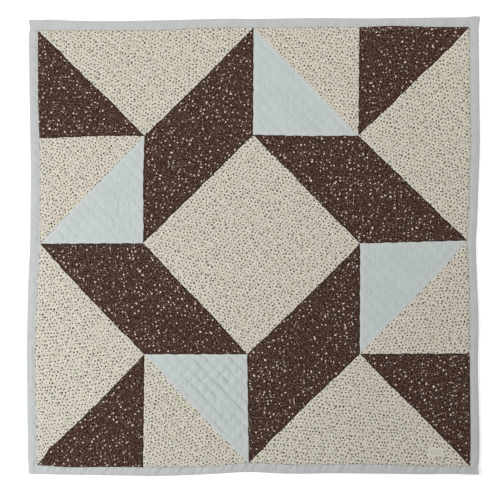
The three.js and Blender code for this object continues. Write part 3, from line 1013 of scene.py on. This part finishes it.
def side_point(side, along, inward):
    """A place from its distance along a side and inward from the outline."""
    direction, out, _, reach = SIDES[side]
    stand = reach + edge_wave(side, along) - inward
    return along[..., None] * np.array(direction) + stand[..., None] * np.array(out)


def folded_in(side, along, inward):
    """A distance inward on the even section, stretched past the fold to the strip's width at that place."""
    share = (binding_width(side, along) - FOLD_CENTRE) / (BINDING_FACE - FOLD_CENTRE)
    return np.where(inward > FOLD_CENTRE, FOLD_CENTRE + (inward - FOLD_CENTRE) * share, inward)


def pucker(side, along, inward):
    """Small waves across the strip, a sum of sines along it, strongest beside the stitched line."""
    leaning = along + PUCKER_LEAN * inward
    ripples = np.sin(leaning[..., None] * PUCKER_RUNS + PUCKER_STARTS[ORDER.index(side)]).sum(-1)
    past_line = inward - STITCH_LINE
    hold = PUCKER_LEAST + (1 - PUCKER_LEAST) * bell(past_line, PUCKER_REACH)
    hem = 1 - HEM_HELD * np.clip(past_line / (BINDING_FACE - STITCH_LINE), 0, 1)
    return PUCKER[side] * ripples * hold * hem - LINE_DEPTH * bell(past_line, LINE_WIDTH)


def side_reach(side, at_end):
    """How far a side reaches past the ends of its neighbours: its outline at its first or last corner."""
    half, reach = SIDES[side][2:]
    return reach + float(edge_wave(side, np.array(half if at_end else -half)))


def strip_ends(side):
    """Where a strip starts, on the outline of the side before it, and where it stops short of the next."""
    before = ORDER[ORDER.index(side) - 1]
    after = ORDER[(ORDER.index(side) + 1) % len(ORDER)]
    next_width = float(binding_width(after, np.array(-SIDES[after][2])))
    return -side_reach(before, True), side_reach(after, False) - next_width - GAP / 3


print("strips run from and to:", {side: np.round(strip_ends(side), 4).tolist() for side in ORDER})

# %% [markdown]
# A strip is the folded section, carried along its side from station to station. Only the upper leg puckers,
# so the puckers fade in with the height. Both ends are closed with quads between the two sides of the
# cloth.

# %% Sew the binding on
STATION = 0.004
PUCKER_FROM = 0.0030
PUCKER_FADE = 0.0010


def sew_binding(side):
    """One strip: the folded section at every station along its side, with both ends closed."""
    start, end = strip_ends(side)
    stations = np.linspace(start, end, int((end - start) / STATION) + 1)
    along, inward = np.meshgrid(stations, section[:, 0], indexing="ij")
    height = np.tile(section[:, 1], (len(stations), 1))
    high = np.clip((height - PUCKER_FROM) / PUCKER_FADE, 0, 1)
    height = height + high * pucker(side, along, inward)
    place = pulled(side_point(side, along, folded_in(side, along, inward)))
    points = lifted(place, height).reshape(-1, 3)
    count = len(section)
    corner = np.arange(count)
    first = np.arange(len(stations) - 1)[:, None] * count
    low = (first + corner).ravel()
    low_next = (first + (corner + 1) % count).ravel()
    walls = np.stack([low, low_next, low_next + count, low + count], 1)
    half = np.arange(count // 2 - 1)
    cap = np.stack([half, count - 1 - half, count - 2 - half, half + 1], 1)
    far = (len(stations) - 1) * count
    faces = np.concatenate([walls, cap, cap[:, ::-1] + far])
    around = np.concatenate([[0], np.cumsum(np.linalg.norm(np.diff(section, axis=0), axis=1))])
    flat = np.stack([along, np.tile(around, (len(stations), 1))], -1).reshape(-1, 2)
    piece = new_piece(f"binding_{side}_strip", points, faces, flat)
    return finish_piece(piece, MATERIALS["binding"], "binding_cotton", f"binding_{side}")


binding = {side: sew_binding(side) for side in ORDER}
print("binding quads:", sum(len(piece.data.polygons) for piece in binding.values()))

# %% [markdown]
# ## The label
#
# A small woven tape is sewn flat near the lower right corner. It is left bare. It spans the hollows of the
# quilting, so its middle follows only about half of their depth. Its hem is stitched through, so that lies
# close to the cloth.
#
# The label is placed in metres and the quilting is counted on the pattern. To find the place on the pattern
# that lies under a point, an even guess is corrected a few times by what it misses.

# %% Sew the label on
LABEL_SIZE = np.array([0.0335, 0.0175])
LABEL_PLACE = np.array([0.4062, -0.4573])
LABEL_NET = (37, 21)
LABEL_SHEET = 0.0005
LABEL_CLEAR = 0.0001
LABEL_FOLLOWS = 0.45
HEM_FOLLOWS = 0.92
HEM_REACH = 0.003
HEM_RISE = 0.0003
HEM_INSET = 0.0012
HEM_ROUND = 0.0008


def pattern_place(place):
    """Column and row on the pattern under a place: the even ones, corrected three times by what they miss."""
    count = (place + FIELD / 2) / SQUARE
    for _ in range(3):
        count = count + (place - np.stack(cloth_place(*count.T), 1)) / SQUARE
    return count.T


def face_under(places):
    """Height of the quilted face under places on the label, far from any seam."""
    return face_height(*pattern_place(places + LABEL_PLACE), np.full(len(places), FAR))


def from_hem(places):
    """Distance of places on the label from its nearest edge."""
    return (LABEL_SIZE / 2 - np.abs(places)).min(1)


def label_height(places, crown):
    """Height of the label's face: a share of the way from the highest crown to the face, more at its hem."""
    follows = LABEL_FOLLOWS + (HEM_FOLLOWS - LABEL_FOLLOWS) * bell(from_hem(places), HEM_REACH)
    return crown + follows * (face_under(places) - crown) + LABEL_CLEAR + LABEL_SHEET


across, up = np.meshgrid(*(np.linspace(-1, 1, count) for count in LABEL_NET), indexing="ij")
flat = np.stack([across.ravel(), up.ravel()], 1) * LABEL_SIZE / 2
crown = face_under(flat).max()
hem = HEM_RISE * bell(from_hem(flat) - HEM_INSET, HEM_ROUND)
face = lifted(flat + LABEL_PLACE, label_height(flat, crown) + hem)
sheet, faces = closed_sheet(face, grid_triangles(*LABEL_NET), LABEL_SHEET)
label = new_piece("label_tape", sheet, faces, np.tile(flat, (2, 1)))
keep_distance(label, from_hem(flat))
finish_piece(label, MATERIALS["label"], "label_tape", "label_tab")
print("label:", len(label.data.polygons), "triangles")

# %% [markdown]
# ## Stitches
#
# A line of machine quilting is a row of short stitches with small gaps, where the thread dips through the
# cloth. A stitch is a long, thin eight-sided bead: two ends, two sides, a top and a bottom. All the
# stitches of one thread are one mesh, made from the array of their middles and directions. The thread is
# dyed to match the cloth, so the lines show by their shadow more than by their colour.

# %% Stitch helpers
STITCH_PITCH = 0.0040
STITCH_LENGTH = 0.0030
STITCH_WIDTH = 0.0005
STITCH_SHOWS = 0.3 * STITCH_WIDTH
BEAD = np.array([(1, 0, 0), (-1, 0, 0), (0, 1, 0), (0, -1, 0), (0, 0, 1), (0, 0, -1)])
BEAD_FACES = np.array([
    (0, 2, 4), (2, 1, 4), (1, 3, 4), (3, 0, 4), (2, 0, 5), (1, 2, 5), (3, 1, 5), (0, 3, 5),
])


def stitches(name, middles, directions, material, slot, length=STITCH_LENGTH, width=STITCH_WIDTH):
    """Beads at the middles, each turned to its direction: along, across and up times half the bead's size."""
    along = directions / np.linalg.norm(directions, axis=1)[:, None] * length / 2
    across = np.stack([-along[:, 1], along[:, 0]], 1) * width / length
    flat = BEAD[None, :, 0:1] * along[:, None] + BEAD[None, :, 1:2] * across[:, None]
    up = np.broadcast_to(BEAD[:, 2] * width / 2, flat.shape[:2])
    points = (middles[:, None] + lifted(flat, up)).reshape(-1, 3)
    faces = (np.arange(len(middles))[:, None, None] * len(BEAD) + BEAD_FACES).reshape(-1, 3)
    return finish_piece(new_piece(name, points, faces, points[:, :2]), material, slot)


THREADS = {
    "dark": plain_cloth("dark_thread", seen(52, 37, 31), seen(70, 53, 46)),
    "cream": plain_cloth("cream_thread", seen(188, 182, 167), seen(199, 194, 179)),
    "blue": plain_cloth("blue_thread", seen(180, 189, 186), seen(192, 201, 198)),
}
print("threads:", sorted(THREADS))

# %% [markdown]
# Both families of lines are counted in half diamonds. Along a falling line the sum of the two counts is a
# fixed odd number, and along a rising line their difference is. A step along a line changes the other one.
# A stitch belongs to the patch that it lies deepest in, and takes its height and its colour from there.

# %% Quilting stitches
FIELD_CLEAR = 0.2
LOOK_AHEAD = 0.05
last = SQUARES * HALF_DIAMONDS
step = 2 * STITCH_PITCH / (np.sqrt(2) * SQUARE_SIDE / HALF_DIAMONDS)
fixed, along = np.meshgrid(np.arange(1, 2 * last, 2), np.arange(-last, last, step), indexing="ij")
falling = np.stack([fixed + along, fixed - along], -1).reshape(-1, 2) / 2
# a stitch lies between two diamonds, and the order of these sums decides which one's share it takes
rising = np.stack([along + last + fixed - last, along + last - fixed + last], -1).reshape(-1, 2) / 2
nodes = np.concatenate([falling, rising])
ahead = np.repeat([[1, -1], [1, 1]], len(falling), axis=0)
kept = ((nodes > FIELD_CLEAR) & (nodes < last - FIELD_CLEAR)).all(1)
column, row = nodes[kept].T / HALF_DIAMONDS
next_column, next_row = (nodes[kept] + LOOK_AHEAD * ahead[kept]).T / HALF_DIAMONDS
start = np.stack(cloth_place(column, row), 1)
directions = np.stack(cloth_place(next_column, next_row), 1) - start
seam = np.stack([side_distances(corners, column, row).min(-1) for corners in PATCHES.values()])
deepest = seam.max(0)
middles = lifted(start, face_height(column, row, deepest) + STITCH_SHOWS)
cloth_of = np.array([name.split("_")[0] for name in PATCHES])[seam.argmax(0)]
for cloth, material in THREADS.items():
    chosen = (cloth_of == cloth) & (deepest > STITCH_LENGTH / 2)
    stitches(f"quilting_{cloth}", middles[chosen], directions[chosen], material, CLOTH_SLOTS[cloth])
    print("quilting in the", cloth, "cloth:", chosen.sum(), "stitches")

# %% [markdown]
# The binding is sewn down with one line of longer stitches near its inner edge, in a paler and thicker
# thread. The label has a line all round.

# %% Stitches of the binding and the label
EDGE_PITCH = 0.0056
EDGE_LENGTH = 0.0042
EDGE_WIDTH = 0.0009
EDGE_SHOWS = 0.45 * EDGE_WIDTH
HEM_START = 0.0015
edge_middles, edge_directions = [], []
for side in ORDER:
    start, end = strip_ends(side)
    along = np.arange(start + BINDING_FACE, end, EDGE_PITCH)
    inward = np.full(len(along), STITCH_LINE)
    top = upper_leg(inward) + BINDING_SHEET / 2 + pucker(side, along, inward) + EDGE_SHOWS
    place = pulled(side_point(side, along, folded_in(side, along, inward)))
    edge_middles.append(lifted(place, top))
    edge_directions.append(np.gradient(place, axis=0))
binding_thread = plain_cloth("binding_thread", seen(212, 213, 210), seen(226, 227, 224))
stitches(
    "binding_stitches", np.concatenate(edge_middles), np.concatenate(edge_directions),
    binding_thread, "binding_cotton", EDGE_LENGTH, EDGE_WIDTH,
)
half_width, half_height = LABEL_SIZE / 2 - HEM_INSET
run = np.arange(-half_width + HEM_START, half_width, STITCH_PITCH)
rise = np.arange(-half_height + HEM_START, half_height, STITCH_PITCH)
hem_places = np.concatenate(
    [np.stack([run, np.full(len(run), up)], 1) for up in (-half_height, half_height)]
    + [np.stack([np.full(len(rise), right), rise], 1) for right in (-half_width, half_width)]
)
hem_directions = np.repeat([[1.0, 0.0], [0.0, 1.0]], [2 * len(run), 2 * len(rise)], axis=0)
hem_height = label_height(hem_places, crown) + HEM_RISE + STITCH_SHOWS
hem_middles = lifted(hem_places + LABEL_PLACE, hem_height)
stitches("label_stitches", hem_middles, hem_directions, MATERIALS["label"], "label_tape")
print("stitches in the binding and the label:", sum(map(len, edge_middles)), len(hem_middles))

# %% [markdown]
#
# The size that each piece of cloth was cut to is worked out here, but not kept. A triangle covers half of the
# square that it was cut from.

# %% Sheets
for name, piece in patches.items():
    kind = "_".join(name.split("_")[:2])
    if name == "cream_centre":
        tuple(SQUARE * np.sqrt(2))
    elif kind in ("dark_band", "cream_side"):
        box = (SQUARE_SIDE, 2 * SQUARE_SIDE)
        SQUARE.prod()
    else:
        SQUARE.prod() / 2
for side, piece in binding.items():
    start, end = strip_ends(side)
    end - start

# %% [markdown]
# ## Floor, light and camera
#
# The blanket lies on a plain white floor, which is made so wide that its far edge never shows. It glows a
# little, so that it stays white around the blanket.

# %% Floor
FLOOR_SIZE = 60.0
FLOOR_FINISH = {
    "Base Color": (0.95, 0.95, 0.95, 1.0), "Roughness": 0.9,
    "Emission Color": (1.0, 1.0, 1.0, 1.0), "Emission Strength": 0.3,
}


def stage_floor(size):
    """A plain pale floor as one square."""
    mesh = bpy.data.meshes.new("floor")
    corners = np.array([(-1, -1, 0), (1, -1, 0), (1, 1, 0), (-1, 1, 0)]) * size / 2
    mesh.from_pydata(corners.tolist(), [], [(0, 1, 2, 3)])
    material, _ = new_material("floor", FLOOR_FINISH)
    mesh.materials.append(material)
    return linked("floor", mesh)


stage_floor(FLOOR_SIZE)
print("floor:", FLOOR_SIZE, "m wide")

# %% [markdown]
# A large soft light, a touch cool, stands on the left and a little below the blanket, and a warmer one
# above it, so the pillows shade only faintly. A pale sky fills the rest.

# %% Light
SKY_STRENGTH = 0.455
LIGHTS = {
    # place, size, power, colour
    "key": ((-1.55, -0.45, 1.4), 0.9, 24.3, (0.97, 1.0, 1.05)),
    "fill": ((0.4, 1.4, 1.5), 1.2, 13.5, (1.02, 1.0, 0.95)),
}
scene = bpy.context.scene
world = bpy.data.worlds.new("studio")
world.use_nodes = True
world.node_tree.nodes["Background"].inputs["Color"].default_value = (1.0, 1.0, 1.0, 1.0)
world.node_tree.nodes["Background"].inputs["Strength"].default_value = SKY_STRENGTH
scene.world = world


def soft_light(name, place, size, power, colour):
    """A square area light that faces the middle of the blanket."""
    light = bpy.data.lights.new(name, "AREA")
    light.size = size
    light.energy = power
    light.color = colour
    lamp = linked(name, light)
    lamp.location = place
    lamp.rotation_euler = (-Vector(place)).to_track_quat("-Z", "Y").to_euler()
    lamp.visible_camera = False
    return lamp


lamps = [soft_light(name, *row) for name, row in LIGHTS.items()]
print("lights:", [lamp.name for lamp in lamps])

# %% [markdown]
# The camera looks straight down. Its height follows from its lens and from the width of floor that the
# picture spans, and the blanket lies a little off the middle of the picture.

# %% Camera
SPAN = 1.1111
LENS = 0.080
SENSOR = 0.036
FACE_LEVEL = 0.005
MIDDLE = (-0.0068, -0.0080)
camera_data = bpy.data.cameras.new("camera")
camera_data.lens = LENS / MM
camera_data.sensor_width = SENSOR / MM
camera = linked("camera", camera_data)
camera.location = (*MIDDLE, FACE_LEVEL + SPAN * LENS / SENSOR)
scene.camera = camera
scene.view_settings.view_transform = "Standard"
print("camera stands", round(camera.location.z, 3), "m above the floor")
